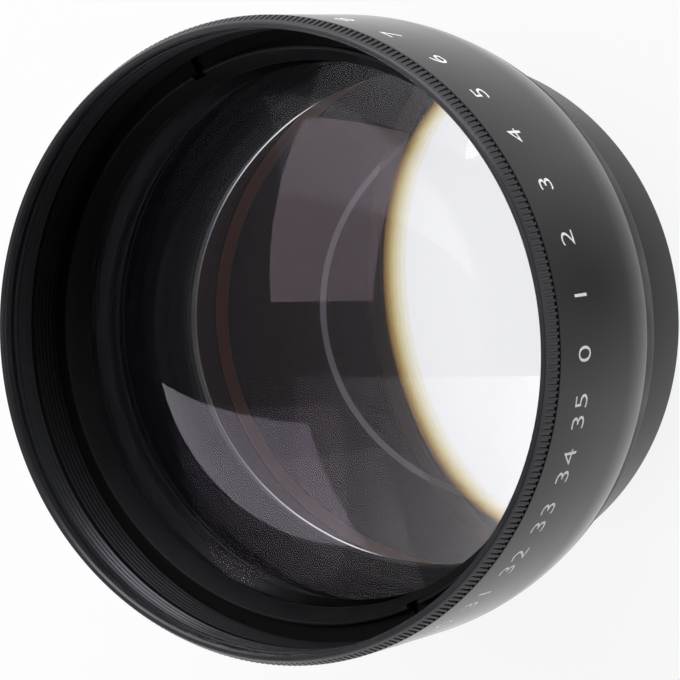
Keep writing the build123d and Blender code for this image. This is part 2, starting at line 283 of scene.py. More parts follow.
WARM_CLOTH = (1.0, 0.93, 0.92)
COOL_CLOTH = (0.93, 0.94, 1.0)
softbox("upper_softbox", (-0.328, 0.413, 0.85), long_axis=(0.036, 0.473, -0.215),
        length=0.52, width=0.36, radiance=3.8, cloth=WARM_CLOTH)
softbox("lower_softbox", (-0.695, -0.566, 0.442), long_axis=(0.57, -0.196, 0.6),
        length=0.70, width=0.42, radiance=3.6, cloth=COOL_CLOTH)
softbox("thread_softbox", (0.1, 0.85, 0.5), long_axis=(1, 0, 0),
        length=0.4, width=0.3, radiance=5.5, cloth=COOL_CLOTH)
softbox("knurl_softbox", (0.96, -0.05, 0.2), long_axis=(0, 1, 0),
        length=0.6, width=0.2, radiance=0.8)
softbox("bevel_softbox", (0.1, 0.99, 0.12), long_axis=(1, 0, 0),
        length=1.0, width=0.24, radiance=3.0)

# %% [markdown]
# ## Turning
# A turned piece starts as one circle of points. It is extruded from station to station of the
# outline, moved along the axis and resized, as a potter pulls up a wall, until it meets the first
# circle again. Corners can be rounded, because a broken edge catches a thin line of light.

# %% Outline helpers
def rounded(stations, steps=4):
    """Outline of (radius, height) or (radius, height, round) stations, each round as a curve."""
    outline = []
    for index, station in enumerate(stations):
        here = Vector(station[:2])
        if len(station) < 3:
            outline.append(tuple(here))
            continue
        before = (Vector(stations[index - 1][:2]) - here).normalized() * station[2]
        after = (Vector(stations[(index + 1) % len(stations)][:2]) - here).normalized() * station[2]
        for step in range(steps + 1):
            share = step / steps
            outline.append(tuple(here + before * (1 - share) ** 2 + after * share ** 2))
    return outline


def thread(radius, depth, low, high, pitch=0.75, crest=0.2):
    """Stations of V-grooves from low to high; a negative depth cuts towards the axis."""
    stations = []
    for index in range(int((high - low) / pitch)):
        start = low + index * pitch + crest / 2
        end = start + pitch - crest
        stations += [(radius, start), (radius + depth, (start + end) / 2), (radius, end)]
    return stations


def dome(vertex, curve, inner, outer, steps):
    """Stations along a sphere: a positive curve falls away from its vertex, a negative rises."""
    stations = []
    for step in range(steps + 1):
        radius = inner + (outer - inner) * step / steps
        drop = abs(curve) - math.sqrt(curve ** 2 - radius ** 2)
        stations.append((radius, vertex - math.copysign(drop, curve)))
    return stations


print("a 3 mm long thread has", len(thread(36.0, 0.4, 0.0, 3.0)) // 3, "grooves")

# %% Turn an outline
SEGMENTS = 256
SMOOTH_ANGLE = math.radians(25)
WELD = 0.0001 * MM


def turned(name, stations, segments=SEGMENTS, solid=False):
    """Turns an outline of millimetres; a solid piece starts and ends close to the axis."""
    outline = [(radius * MM, height * MM) for radius, height in rounded(stations)]
    radius, height = outline[0]
    bpy.ops.object.select_all(action="DESELECT")
    bpy.ops.mesh.primitive_circle_add(
        vertices=segments,
        radius=radius,
        location=(0, 0, height),
        fill_type="TRIFAN" if solid else "NOTHING",
    )
    piece = bpy.context.object
    piece.name = name
    bpy.ops.object.transform_apply()
    bpy.ops.object.mode_set(mode="EDIT")
    bpy.ops.mesh.select_mode(type="EDGE")
    bpy.ops.mesh.select_all(action="DESELECT" if solid else "SELECT")
    if solid:
        bpy.ops.mesh.select_non_manifold()
    for next_radius, next_height in outline[1:] + ([] if solid else outline[:1]):
        bpy.ops.mesh.extrude_edges_move(
            TRANSFORM_OT_translate={"value": (0, 0, next_height - height)}
        )
        growth = next_radius / radius
        bpy.ops.transform.resize(value=(growth, growth, 1), center_override=(0, 0, 0))
        radius, height = next_radius, next_height
    if solid:
        bpy.ops.mesh.edge_face_add()
        bpy.ops.mesh.poke()
    bpy.ops.mesh.select_all(action="SELECT")
    bpy.ops.mesh.remove_doubles(threshold=WELD)
    bpy.ops.mesh.normals_make_consistent(inside=False)
    bpy.ops.object.mode_set(mode="OBJECT")
    bpy.ops.object.shade_smooth_by_angle(angle=SMOOTH_ANGLE)
    print(name, len(piece.data.polygons), "faces")
    return piece


def reach_of(piece, face):
    """Largest radius of a face's corners, in millimetres."""
    return max(math.hypot(*piece.data.vertices[v].co.xy) for v in face.vertices) / MM


def finish_piece(piece, node, body, material):
    """Puts a material on a piece, hangs it on its body and hides the node it stands for."""
    piece.data.materials.clear()
    piece.data.materials.append(material)
    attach(piece, body)
    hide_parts(node)


# %% [markdown]
# ## Anodised metal
# Black anodised aluminium has a thin glassy oxide that holds a dye, so it shines like a dark
# ceramic, not like bare metal. Blasting before the bath leaves a fine grain, and the lathe leaves
# rings. One recipe serves every ring, with its own colour, gloss, grain and tool marks. The real
# grain is a few hundredths of a millimetre wide, too fine to show, so it is drawn 0.12 mm wide.

# %% A recipe for dyed metal
CLOUD_SIZE = 6
MOTTLE_LOW = 0.1
MOTTLE_HIGH = 0.4
OXIDE_IOR = 1.46
SHEEN_TINT = (0.94, 0.92, 1.0, 1.0)


def dyed_metal(name, dark, light, gloss, grain_depth, ring_depth, grain_size=0.12, ring_pitch=0.1,
               sheen=0.25):
    """Dark metal: two shades, lowest and highest roughness, and its marks in millimetres."""
    material, tree, output = new_material(name)
    place = add_node(tree, "ShaderNodeTexCoord")
    in_mm = add_node(tree, "ShaderNodeVectorMath",
                     {0: place.outputs["Object"], 1: (1 / MM,) * 3}, operation="MULTIPLY")
    grain = add_node(tree, "ShaderNodeTexNoise",
                     {"Vector": in_mm.outputs[0], "Scale": 1 / grain_size, "Detail": 3.0})
    cloud = add_node(tree, "ShaderNodeTexNoise",
                     {"Vector": in_mm.outputs[0], "Scale": 1 / CLOUD_SIZE, "Detail": 4.0})
    axes = add_node(tree, "ShaderNodeSeparateXYZ", {0: in_mm.outputs[0]})
    flat = add_node(tree, "ShaderNodeCombineXYZ", {0: axes.outputs["X"], 1: axes.outputs["Y"]})
    spread = add_node(tree, "ShaderNodeVectorMath", {0: flat.outputs[0]}, operation="LENGTH")
    lathe = add_node(tree, "ShaderNodeCombineXYZ",
                     {0: spread.outputs["Value"], 2: axes.outputs["Z"]})
    rings = add_node(tree, "ShaderNodeTexNoise",
                     {"Vector": lathe.outputs[0], "Scale": 1 / ring_pitch, "Detail": 2.0})
    colour = colour_between(tree, cloud.outputs[0], dark, light)
    mottle = add_node(tree, "ShaderNodeMath",
                      {0: grain.outputs[0], 1: cloud.outputs[0]}, operation="MULTIPLY")
    roughness = add_node(tree, "ShaderNodeMapRange",
                         {"Value": mottle.outputs[0],
                          "From Min": MOTTLE_LOW, "From Max": MOTTLE_HIGH,
                          "To Min": gloss[0], "To Max": gloss[1]})
    turning = add_node(tree, "ShaderNodeBump",
                       {"Height": rings.outputs[0], "Distance": ring_depth * MM})
    blasting = add_node(tree, "ShaderNodeBump",
                        {"Height": grain.outputs[0], "Distance": grain_depth * MM,
                         "Normal": turning.outputs[0]})
    shader = add_node(
        tree,
        "ShaderNodeBsdfPrincipled",
        {"Base Color": colour, "Roughness": roughness.outputs[0],
         "Normal": blasting.outputs[0], "IOR": OXIDE_IOR,
         "Specular IOR Level": sheen, "Specular Tint": SHEEN_TINT},
    )
    tree.links.new(shader.outputs[0], output.inputs[0])
    return material


# %% Anodised and painted metal
# Satin: the band mirrors the white floor as one long soft stripe.
satin_anodised = dyed_metal(
    "satin_black_anodised_aluminium", "#0d0d0f", "#121214", (0.13, 0.19), 0.003, 0.001, sheen=0.32)
# Turned after the bath: the knurl and the lip are paler and catch the light on each edge.
turned_anodised = dyed_metal(
    "bright_turned_black_anodised_aluminium", "#1a1b1d", "#212224", (0.26, 0.36), 0.002, 0.003,
    sheen=0.65)
# Matt dark grey: the rear tube keeps an even tone next to the shining shoulder.
matt_anodised = dyed_metal(
    "matt_dark_grey_anodised_aluminium", "#101113", "#151618", (0.15, 0.22), 0.004, 0.001,
    sheen=0.11)
# Cut thread: rough flanks, so the grooves show as soft grey lines.
thread_anodised = dyed_metal(
    "machined_black_anodised_thread", "#181a1c", "#1f2124", (0.3, 0.42), 0.003, 0.003, sheen=0.5)
# Lacquer: almost no shine, so the ring round the glass looks like a dark trench.
matt_black = dyed_metal(
    "matt_black_lacquered_aluminium", "#080809", "#0d0d0d", (0.45, 0.6), 0.006, 0.001)
# Stray-light paint: the deepest black in the lens, coarse to the touch.
flocked_black = dyed_metal(
    "deep_black_stray_light_paint", "#050506", "#09090a", (0.75, 0.9), 0.012, 0.0)
print("the band is", satin_anodised.name)

# %% [markdown]
# ## Front ring
# The ring at the very front has a smooth lip, a fine knurl to grip it by and a female thread for
# filters. The knurl is cut on a bevel: 324 flat teeth with flat-bottomed slots between. The ring is
# turned with four points a tooth. Two columns of points in four are sunk to the bottom of the
# slots, deepest at the rear, and the columns are then turned apart, so the flanks are steep.

# %% Turn the front ring
TEETH = 324
POINTS_A_TOOTH = 4
FILTER_THREAD = 35.6
THREAD_DEPTH = 0.38
RELIEF_DEPTH = 0.42
RING_THREAD = 35.75
RING_DEPTH = 0.34
KNURL_REAR = 37.15
KNURL_FRONT = 36.62
LIP = 36.42
NECK = 36.95
SKIRT = 36.5

lip_top = top_of("front_ring")
ring_joint = top_of("main_barrel")
skirt_end = bottom_of("front_ring")
knurl_low = ring_joint + 0.1
knurl_high = lip_top - 0.5
lip_low = lip_top - 0.12
filter_low = lip_top - 3.1
filter_high = lip_top - 0.3
relief_high = lip_top - 1.25
relief_low = lip_top - 1.95
front_ring = turned(
    "front_ring_finished",
    [
        (SKIRT, skirt_end),
        (SKIRT, ring_joint),
        (NECK, ring_joint),
        (NECK, knurl_low),
        (KNURL_REAR - 0.06, knurl_low),
        (KNURL_REAR, knurl_low + 0.09),
        (KNURL_FRONT + 0.04, knurl_high - 0.06),
        (KNURL_FRONT - 0.02, knurl_high + 0.02),
        (LIP, lip_low),
        (LIP - 0.1, lip_top, 0.04),
        (FILTER_THREAD + 0.24, lip_top, 0.05),
        (FILTER_THREAD, filter_high, 0.08),
        (FILTER_THREAD, relief_high),
        (FILTER_THREAD + RELIEF_DEPTH, relief_high - 0.1),
        (FILTER_THREAD + RELIEF_DEPTH, relief_low + 0.1),
        (FILTER_THREAD, relief_low),
        *reversed(thread(FILTER_THREAD, THREAD_DEPTH, filter_low, relief_low)),
        (FILTER_THREAD, filter_low),
        (RING_THREAD, filter_low),
        *reversed(thread(RING_THREAD, RING_DEPTH, skirt_end, filter_low)),
        (RING_THREAD, skirt_end),
    ],
    segments=TEETH * POINTS_A_TOOTH,
)

# %% Cut the knurl
KNURL_DEPTH_REAR = 0.24
KNURL_DEPTH_FRONT = 0.1
TOOTH_SHARES = (0.0, 0.42, 0.5, 0.92)
SUNK_COLUMNS = (2, 3)
HAIR = 0.01


def column_of(vertex):
    """Which of a tooth's four columns of points a vertex is in."""
    turn = math.atan2(vertex.co.x, vertex.co.y) / (2 * math.pi)
    return round(turn * TEETH * POINTS_A_TOOTH) % POINTS_A_TOOTH


def select_points(piece, chosen):
    """Selects the vertices that a test picks, and nothing else."""
    bpy.ops.object.select_all(action="DESELECT")
    bpy.context.view_layer.objects.active = piece
    piece.select_set(True)
    bpy.ops.object.mode_set(mode="EDIT")
    bpy.ops.mesh.select_mode(type="VERT")
    bpy.ops.mesh.select_all(action="DESELECT")
    bpy.ops.object.mode_set(mode="OBJECT")
    for vertex in piece.data.vertices:
        vertex.select = chosen(vertex)
    bpy.ops.object.mode_set(mode="EDIT")


columns = [column_of(vertex) for vertex in front_ring.data.vertices]


def on_knurl(vertex):
    """Is a vertex on the toothed bevel, between the neck and the lip?"""
    radius = math.hypot(vertex.co.x, vertex.co.y) / MM
    return (knurl_low - HAIR < vertex.co.z / MM < knurl_high + HAIR
            and radius > LIP + 5 * HAIR and abs(radius - NECK) > 2 * HAIR)


knurl_middle = (knurl_low + knurl_high) / 2
for at_rear, depth in ((True, KNURL_DEPTH_REAR), (False, KNURL_DEPTH_FRONT)):
    sunk = 1 - depth / KNURL_REAR
    select_points(front_ring, lambda v: columns[v.index] in SUNK_COLUMNS and on_knurl(v)
                  and (v.co.z / MM < knurl_middle) == at_rear)
    bpy.ops.transform.resize(value=(sunk, sunk, 1), center_override=(0, 0, 0))
    bpy.ops.object.mode_set(mode="OBJECT")
for column in range(1, POINTS_A_TOOTH):
    swing = (TOOTH_SHARES[column] - column / POINTS_A_TOOTH) * 2 * math.pi / TEETH
    select_points(front_ring, lambda v: columns[v.index] == column)
    bpy.ops.transform.rotate(value=swing, orient_axis="Z", center_override=(0, 0, 0))
    bpy.ops.object.mode_set(mode="OBJECT")
bpy.ops.object.shade_smooth_by_angle(angle=SMOOTH_ANGLE)
finish_piece(front_ring, "front_ring", "front_ring", turned_anodised)
front_ring.data.materials.append(thread_anodised)
wall = [face for face in front_ring.data.polygons
        if reach_of(front_ring, face) < FILTER_THREAD + RELIEF_DEPTH + HAIR
        and face.center.z < filter_high * MM]
for face in wall:
    face.material_index = 1
print("faces of the inner wall:", len(wall))

# %% [markdown]
# ## Slots for a spanner
# Threaded rings inside a lens are turned in with a pin spanner, so each has two opposite slots. A
# cutter block is made at its place and taken away from the ring by a Boolean modifier. It sticks
# out past the ring, so that no thin skin of metal is left.

# %% Cut spanner slots
SLOT_WIDTH = 1.6
SLOT_ANGLE = math.radians(-64.4)
OVERCUT = 0.1


def cut_slots(piece, inside, outside, low, high):
    """Cuts two opposite slots between two radii and two heights, in millimetres."""
    middle = (inside + outside) / 2 * MM
    for side in (0, math.pi):
        turn = SLOT_ANGLE + side
        bpy.ops.object.select_all(action="DESELECT")
        bpy.ops.mesh.primitive_cube_add(
            size=1,
            location=(middle * math.cos(turn), middle * math.sin(turn), (low + high) / 2 * MM),
            rotation=(0, 0, turn),
            scale=((outside - inside) * MM, SLOT_WIDTH * MM, (high - low) * MM),
        )
        cutter = bpy.context.object
        bpy.context.view_layer.objects.active = piece
        cut = piece.modifiers.new("slot", "BOOLEAN")
        cut.operation = "DIFFERENCE"
        cut.solver = "EXACT"
        cut.object = cutter
        bpy.ops.object.modifier_apply(modifier="slot")
        bpy.data.objects.remove(cutter)
    bpy.ops.object.select_all(action="DESELECT")
    piece.select_set(True)
    bpy.ops.object.shade_smooth_by_angle(angle=SMOOTH_ANGLE)
    print("slots in", piece.name, round(high - low - OVERCUT, 2), "mm deep")


# %% [markdown]
# ## Retaining ring of the front glass
# A broad matt-black ring holds the front glass. Its face opens forwards as a cone, and it stands
# clear of the barrel's wall, so a dark trench runs round it.

# %% Turn the retaining ring
RING_SHELF = 1.65
CONE_OUTSIDE = 33.7
CONE_EDGE = 33.3
CONE_START = 0.3
RING_SLOT_FROM = 33.0
RING_SLOT_DEPTH = 1.8

ring_seat = bottom_of("retaining_ring")
ring_top = top_of("retaining_ring")
ring_bore = bore_of("retaining_ring")
ring_edge = radius_of("retaining_ring")
retaining_ring = turned("retaining_ring_finished", [
    (ring_bore, ring_seat),
    (ring_edge, ring_seat),
    (ring_edge, ring_seat + RING_SHELF, 0.05),
    (CONE_OUTSIDE, ring_seat + RING_SHELF),
    (CONE_OUTSIDE, ring_top, 0.1),
    (CONE_EDGE, ring_top, 0.1),
    (ring_bore, ring_seat + CONE_START, 0.08),
])
cut_slots(retaining_ring, RING_SLOT_FROM, ring_edge + OVERCUT,
          ring_top - RING_SLOT_DEPTH, ring_top + OVERCUT)
finish_piece(retaining_ring, "retaining_ring", "barrel", matt_black)

# %% [markdown]
# ## Main barrel
# The wide barrel has a straight band and a shoulder that draws in behind it in one long curve. The
# shoulder's steep end is seen at a flat angle and mirrors the white floor: the pale stripe. Inside,
# where light could stray onto the picture, the barrel is lacquered matt black.

# %% Curve of the shoulder
BAND = 37.17
SHOULDER_LENGTH = 12.1
SHOULDER_DROP = 2.64
SHOULDER_STEPS = 20

shoulder_end = bottom_of("main_barrel")
shoulder_start = shoulder_end + SHOULDER_LENGTH
shoulder_curve = (SHOULDER_LENGTH ** 2 + SHOULDER_DROP ** 2) / (2 * SHOULDER_DROP)
shoulder = []
for step in range(1, SHOULDER_STEPS):
    fall = SHOULDER_LENGTH * step / SHOULDER_STEPS
    drop = shoulder_curve - math.sqrt(shoulder_curve ** 2 - fall ** 2)
    shoulder.append((BAND - drop, shoulder_start - fall))
print("radius of the shoulder's curve:", round(shoulder_curve, 1), "mm")

# %% Turn the main barrel
RUNNING = 0.05
THREAD_START = 1.15
THREAD_END = 0.4
BARREL_SEGMENTS = 384


def blacken_inside(piece, reach):
    """Gives matt black to the faces within a radius, in millimetres, and counts them."""
    piece.data.materials.append(matt_black)
    inside = [face for face in piece.data.polygons if reach_of(piece, face) < reach]
    for face in inside:
        face.material_index = 1
    return len(inside)


rear_mouth = radius_of("focus_shim") + RUNNING
shim_top = top_of("focus_shim")
seat_edge = bore_of("main_barrel")
seat_top = bottom_of("doublet_seat_washer")
glass_pocket = radius_of("crown_element") + RUNNING
ring_pocket = ring_edge + RUNNING
skirt_pocket = radius_of("front_ring_washer") + RUNNING
washer_seat = bottom_of("front_ring_washer")
main_barrel = turned(
    "main_barrel_finished",
    [
        (rear_mouth, shoulder_end),
        (rear_mouth, shim_top),
        (seat_edge, shim_top),
        (seat_edge, seat_top, 0.1),
        (glass_pocket, seat_top),
        (glass_pocket, ring_seat - RUNNING),
        (ring_pocket, ring_seat - RUNNING),
        (ring_pocket, ring_seat + RING_SHELF),
        (RING_THREAD, ring_seat + RING_SHELF),
        *thread(RING_THREAD, RING_DEPTH, ring_top - THREAD_START, skirt_end - THREAD_END),
        (RING_THREAD, washer_seat),
        (skirt_pocket, washer_seat),
        (skirt_pocket, ring_joint),
        (BAND, ring_joint, 0.14),
        (BAND, shoulder_start),
        *shoulder,
        (BAND - SHOULDER_DROP, shoulder_end, 0.6),
    ],
    segments=BARREL_SEGMENTS,
)
finish_piece(main_barrel, "main_barrel", "barrel", satin_anodised)
print("faces inside the main barrel:", blacken_inside(main_barrel, skirt_pocket + RUNNING))

# %% [markdown]
# ## Rear barrel and mount ring
# Behind the shoulder comes a narrower matt tube, whose upper half plugs into the main barrel. A
# ring with a male thread sits in its end, and is what screws onto the camera's own lens. Both are
# plain turned rings with broken edges, so an outline says all there is to say of them.

# %% Turn the rear barrel
TUBE = 31.8
PLUG_GAP = 0.3
INNER_THREAD_PITCH = 1.0
INNER_THREAD_DEPTH = 0.45
INNER_THREAD_END = 0.5

tube_end = bottom_of("rear_barrel")
plug = radius_of("rear_barrel")
plug_top = top_of("rear_barrel")
plug_bottom = shoulder_end + PLUG_GAP
inner_wall = radius_of("inner_element") + RUNNING
inner_seat = bottom_of("inner_element")
baffle_mouth = bore_of("rear_barrel")
baffle_high = top_of("light_baffle")
baffle_wall = radius_of("light_baffle")
mount_pocket = radius_of("mount_ring") + RUNNING
mount_seat = top_of("mount_ring_washer")
inner_thread = thread(
    inner_wall, INNER_THREAD_DEPTH, top_of("inner_retaining_ring"), plug_top - INNER_THREAD_END,
    pitch=INNER_THREAD_PITCH)
rear_barrel = turned("rear_barrel_finished", [
    (TUBE, tube_end, 0.25),
    (TUBE, plug_bottom),
    (plug, plug_bottom),
    (plug, plug_top, 0.2),
    (inner_wall, plug_top, 0.05),
    *reversed(inner_thread),
    (inner_wall, inner_seat),
    (baffle_mouth, inner_seat, 0.05),
    (baffle_mouth, baffle_high, 0.05),
    (baffle_wall + RUNNING, baffle_high),
    (baffle_wall + RUNNING, mount_seat),
    (mount_pocket, mount_seat),
    (mount_pocket, tube_end),
])
finish_piece(rear_barrel, "rear_barrel", "barrel", matt_anodised)
print("faces inside the rear barrel:", blacken_inside(rear_barrel, mount_pocket + RUNNING))

# %% Turn the mount ring
MALE_THREAD = 29.0
MALE_THREAD_LOW = 0.3
MALE_THREAD_HIGH = 3.5

collar = radius_of("mount_ring")
collar_top = top_of("mount_ring")
mount_bore = bore_of("mount_ring")
mount_ring = turned("mount_ring_finished", [
    (mount_bore, 0.0, 0.25),
    (MALE_THREAD, 0.0, 0.25),
    *thread(MALE_THREAD, -THREAD_DEPTH, MALE_THREAD_LOW, MALE_THREAD_HIGH),
    (MALE_THREAD, tube_end),
    (collar, tube_end, 0.08),
    (collar, collar_top),
    (mount_bore, collar_top, 0.1),
])
finish_piece(mount_ring, "mount_ring", "mount_ring", thread_anodised)

# %% [markdown]
# ## Cell of the rear glass
# The rear glass sits in a cup of its own, which screws into the tube from behind and is locked with
# a ring. Plain square rings like that one need no outline: their four corners are in the frame, and
# only the width of each broken corner is given.

# %% Turn the cell
cell_flange = radius_of("rear_cell")
cell_top = top_of("rear_cell")
cell_bottom = bottom_of("rear_cell")
cell_body = bore_of("cell_lock_ring") - RUNNING
flange_bottom = top_of("cell_lock_ring")
rear_clear = bore_of("rear_cell")
rear_pocket = radius_of("rear_element") + RUNNING
rear_seat = top_of("rear_element")
rear_cell = turned("rear_cell_finished", [
    (rear_clear, cell_top, 0.06),
    (cell_flange, cell_top),
    (cell_flange, flange_bottom),
    (cell_body, flange_bottom),
    (cell_body, cell_bottom, 0.25),
    (rear_pocket, cell_bottom, 0.1),
    (rear_pocket, rear_seat),
    (rear_clear, rear_seat),
])
finish_piece(rear_cell, "rear_cell", "barrel", matt_black)


# %% Turn the square rings
def square_ring(node, breaks):
    """Turns a ring from the node's own box; the breaks start at its inner corner below."""
    inside, outside = bore_of(node), radius_of(node)
    below, above = bottom_of(node), top_of(node)
    corners = ((inside, below), (outside, below), (outside, above), (inside, above))
    return turned(node + "_finished", [
        (*corner, width) if width else corner for corner, width in zip(corners, breaks)])


LOCK_SLOT_FROM = 26.6
LOCK_SLOT_DEPTH = 0.8
REAR_SLOT_DEPTH = 0.85
INNER_SLOT_DEPTH = 0.95

lock_ring = square_ring("cell_lock_ring", (0.08, 0.08, 0, 0))
low = bottom_of("cell_lock_ring")
cut_slots(lock_ring, LOCK_SLOT_FROM, radius_of("cell_lock_ring") + OVERCUT,
          low - OVERCUT, low + LOCK_SLOT_DEPTH)
finish_piece(lock_ring, "cell_lock_ring", "barrel", matt_black)
rear_ring = square_ring("rear_retaining_ring", (0.25, 0.05, 0, 0.05))
low = bottom_of("rear_retaining_ring")
cut_slots(rear_ring, rear_clear - OVERCUT, radius_of("rear_retaining_ring") + OVERCUT,
          low - OVERCUT, low + REAR_SLOT_DEPTH)
finish_piece(rear_ring, "rear_retaining_ring", "barrel", matt_black)
inner_ring = square_ring("inner_retaining_ring", (0, 0, 0.05, 0.25))
high = top_of("inner_retaining_ring")
cut_slots(inner_ring, bore_of("inner_retaining_ring") - OVERCUT,
          radius_of("inner_retaining_ring") + OVERCUT, high - INNER_SLOT_DEPTH, high + OVERCUT)
finish_piece(inner_ring, "inner_retaining_ring", "barrel", matt_black)

# %% [markdown]
# ## Baffle and stop
# Between the glasses, steps in deep matt black keep stray light away, and a thin plate stops the
# edge of the beam. They are only seen through the glass, as dark rings inside one another.

# %% Turn the baffle and the stop
BAFFLE_STEPS = 4
STEP_WIDTH = 1.35

baffle_low = bottom_of("light_baffle")
step_height = (baffle_high - baffle_low) / BAFFLE_STEPS
steps = []
for index in range(BAFFLE_STEPS):
    inside = baffle_mouth - index * STEP_WIDTH
    top = baffle_high - index * step_height
    steps += [(inside, top, 0.05), (inside - STEP_WIDTH / 2, top - step_height)]
light_baffle = turned(
    "light_baffle_finished", [(baffle_wall, baffle_low), (baffle_wall, baffle_high), *steps])
finish_piece(light_baffle, "light_baffle", "barrel", flocked_black)
aperture_stop = square_ring("aperture_stop", (0, 0, 0, 0.05))
finish_piece(aperture_stop, "aperture_stop", "barrel", flocked_black)

# %% [markdown]
# ## Glass
# A coated lens mirrors about one part in a hundred of the light, and mauve, because the coating
# works best for green. Specular Tint on the shader is that coat: it dims the reflection and gives
# it its colour. Two cemented faces mirror nothing, so the front one bends nothing, and the rear one
# bends only as much as the two sorts of glass differ.

# %% Coated glass
COAT_DRIFT = 25.0


def coat_colour(tree, thin, thick):
    """What a coat leaves of the reflection; it drifts between two colours over some centimetres."""
    place = add_node(tree, "ShaderNodeTexCoord")
    drift = add_node(tree, "ShaderNodeTexNoise",
                     {"Vector": place.outputs["Object"], "Scale": COAT_DRIFT, "Detail": 1.0})
    return colour_between(tree, drift.outputs[0], thin, thick)


def optical_glass(name, ior, thin=None, thick=None):
    """Polished glass, with the colours its coat mirrors where it is thin and where it is thick."""
    material, tree, output = new_material(name)
    shader = add_node(
        tree,
        "ShaderNodeBsdfPrincipled",
        {"Base Color": linear("#fcfcfd"), "Roughness": 0.0, "IOR": ior,
         "Transmission Weight": 1.0},
    )
    if thin:
        tree.links.new(coat_colour(tree, thin, thick), shader.inputs["Specular Tint"])
    tree.links.new(shader.outputs[0], output.inputs[0])
    return material


CROWN_IOR = 1.589
FLINT_IOR = 1.62
INNER_IOR = 1.52
REAR_IOR = 1.71
crown_front = optical_glass("coated_crown_glass", CROWN_IOR, "#847a87", "#8a7a84")
cemented_crown = optical_glass("cemented_crown_face", 1.0)
cemented_flint = optical_glass("cemented_flint_face", FLINT_IOR / CROWN_IOR)
flint_back = optical_glass("coated_flint_glass", FLINT_IOR, "#2c2a34", "#302c36")
inner_coated = optical_glass("coated_inner_glass", INNER_IOR, "#26262e", "#2a2830")
rear_front = optical_glass("coated_dense_rear_glass", REAR_IOR, "#2c2a34", "#302c36")
print("light mirrored by bare crown glass:", round(((CROWN_IOR - 1) / (CROWN_IOR + 1)) ** 2, 3))

# %% [markdown]
# ## Dense glass that splits colours
# The bright crescent is white floor seen through the strong rear glass, and dense glass bends blue
# more than red, which gives the crescent its brown and cream edge. No shader splits colours, so
# seven refractions, one for each colour from red to blue, are added up to white.

# %% Dispersing glass
PRISM_COLOURS = (
    (0.20, 0.11, 0.03), (0.20, 0.16, 0.06), (0.18, 0.19, 0.12), (0.15, 0.18, 0.17),
    (0.12, 0.15, 0.20), (0.09, 0.12, 0.21), (0.06, 0.09, 0.21),
)
RED_TO_BLUE = (1.655, 1.662, 1.669, 1.676, 1.684, 1.693, 1.704)
GREEN = 3


def dispersing_glass(name, coat, haze):
    """Dense glass; coat is the power that weakens its reflection, haze its face's roughness."""
    material, tree, output = new_material(name)
    bent = None
    for colour, ior in zip(PRISM_COLOURS, RED_TO_BLUE):
        share = add_node(tree, "ShaderNodeBsdfRefraction",
                         {"Color": (*colour, 1.0), "Roughness": haze, "IOR": ior})
        bent = share if bent is None else add_node(
            tree, "ShaderNodeAddShader", {0: bent.outputs[0], 1: share.outputs[0]})
    bare = add_node(tree, "ShaderNodeFresnel", {"IOR": RED_TO_BLUE[GREEN]})
    coated = add_node(tree, "ShaderNodeMath", {0: bare.outputs[0], 1: coat}, operation="POWER")
    mirrored = add_node(tree, "ShaderNodeBsdfAnisotropic",
                        {"Color": coat_colour(tree, "#d2ced6", "#dedade"), "Roughness": haze})
    mix = add_node(tree, "ShaderNodeMixShader",
                   {0: coated.outputs[0], 1: bent.outputs[0], 2: mirrored.outputs[0]})
    tree.links.new(mix.outputs[0], output.inputs[0])
    return material


rear_back = dispersing_glass("dispersing_dense_rear_glass", 1.7, 0.03)
rear_bevel = dispersing_glass("ground_rear_glass_bevel", 1.0, 0.2)
print("all seven colours add up to",
      [round(sum(colour[channel] for colour in PRISM_COLOURS), 2) for channel in range(3)])

# %% Ground and inked glass
# Ink on the ground edge of the three front glasses: no light comes back from it.
blacked_edge = dyed_metal(
    "inked_ground_glass_edge", "#060607", "#0b0b0c", (0.6, 0.8), 0.01, 0.0, grain_size=0.06,
    sheen=0.0)
# Bare ground glass, pale as frost: mirrored in the rear face, it is the thin grey arc.
ground_rim = dyed_metal(
    "fine_ground_glass_rim", "#dcdade", "#e8e6ea", (0.7, 0.85), 0.01, 0.0, grain_size=0.06)
# Brown-black ink on the rear glass's edge: a warm dark band inside the bright circle.
brown_ink = dyed_metal(
    "brown_black_ink_on_ground_glass", "#3a2820", "#463026", (0.6, 0.8), 0.01, 0.0, grain_size=0.06,
    sheen=0.0)
print("materials so far:", len(bpy.data.materials))

# %% [markdown]
# ## Four glasses
# A lens is turned like a ring, but its outline starts and ends at the axis, so its poles are small
# caps. Each face follows a sphere, worked out from its vertex and its radius of curvature. The
# rear glass has its sharp front corner ground to a bevel, which is the bright circle.

# %% Turn a lens
POLE = 0.4
DOME_STEPS = 44
ON_FRONT, ON_REAR, ON_EDGE, ON_BEVEL, ON_RIM = range(5)


